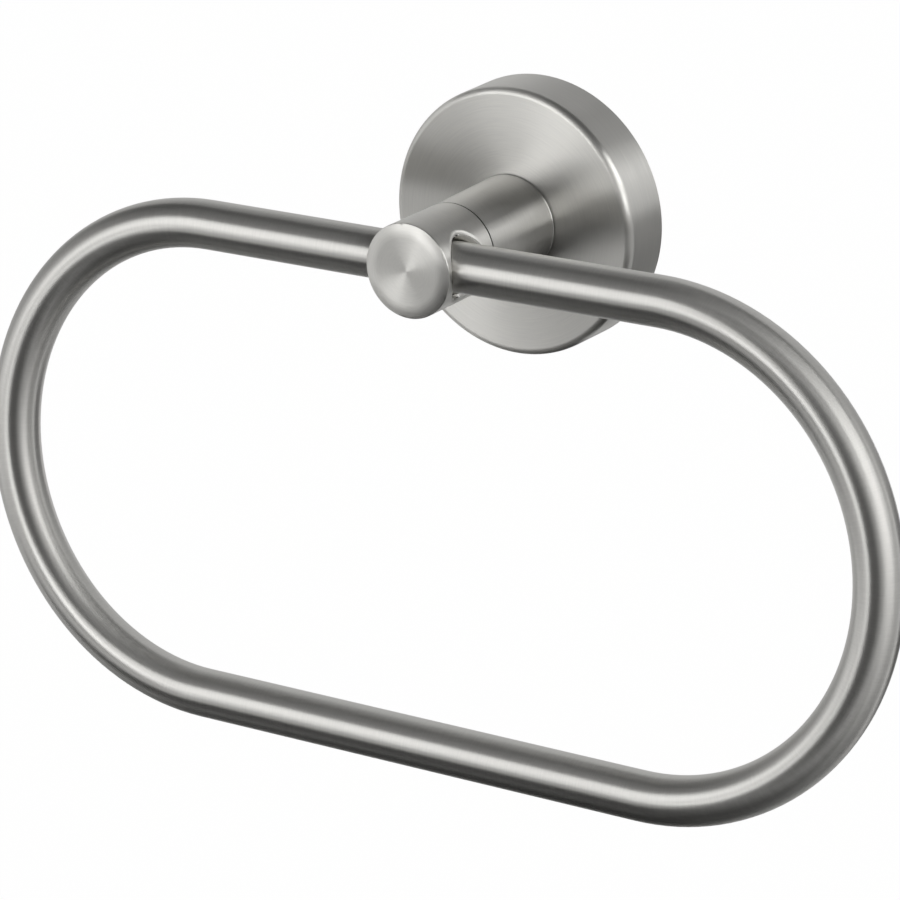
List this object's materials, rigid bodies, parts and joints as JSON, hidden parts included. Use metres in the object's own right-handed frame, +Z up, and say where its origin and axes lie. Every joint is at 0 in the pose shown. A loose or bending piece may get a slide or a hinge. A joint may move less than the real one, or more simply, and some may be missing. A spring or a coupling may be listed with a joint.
{
  "type": "towel ring",
  "caption": "Wall towel ring in satin steel: a stadium-shaped tube swings in the cross-bored head of a tapered post on a round flange.",
  "frame": {"origin": "centre of the flange on the wall plane, on the post's axis", "axes": "+Y into the wall, the post stands out along -Y, +Z up, +X along the ring's straight bars"},
  "size_m": [0.2126, 0.0556, 0.131],
  "materials": {
    "satin_steel": "satin brushed, lines round the turned pieces and along the tube",
    "zinc_plated_steel": "bright zinc plate over a turned surface",
    "screw_steel": "plain machined",
    "spring_steel": "dull rolled"
  },
  "bodies": {
    "wall_mount": {"wall_bracket": "zinc_plated_steel", "flange_cover": "satin_steel", "grub_screw": "screw_steel", "rear_post": "satin_steel", "post_screw": "screw_steel", "lock_washer": "spring_steel", "ring_head": "satin_steel", "head_stud": "screw_steel"},
    "ring": {"ring": "satin_steel"}
  },
  "joints": [
    {"name": "ring_swing", "type": "hinge", "parent": "wall_mount", "child": "ring", "pos_m": [0, -0.0427, 0], "axis": [1, 0, 0], "range_deg": [-197, 26]}
  ]
}
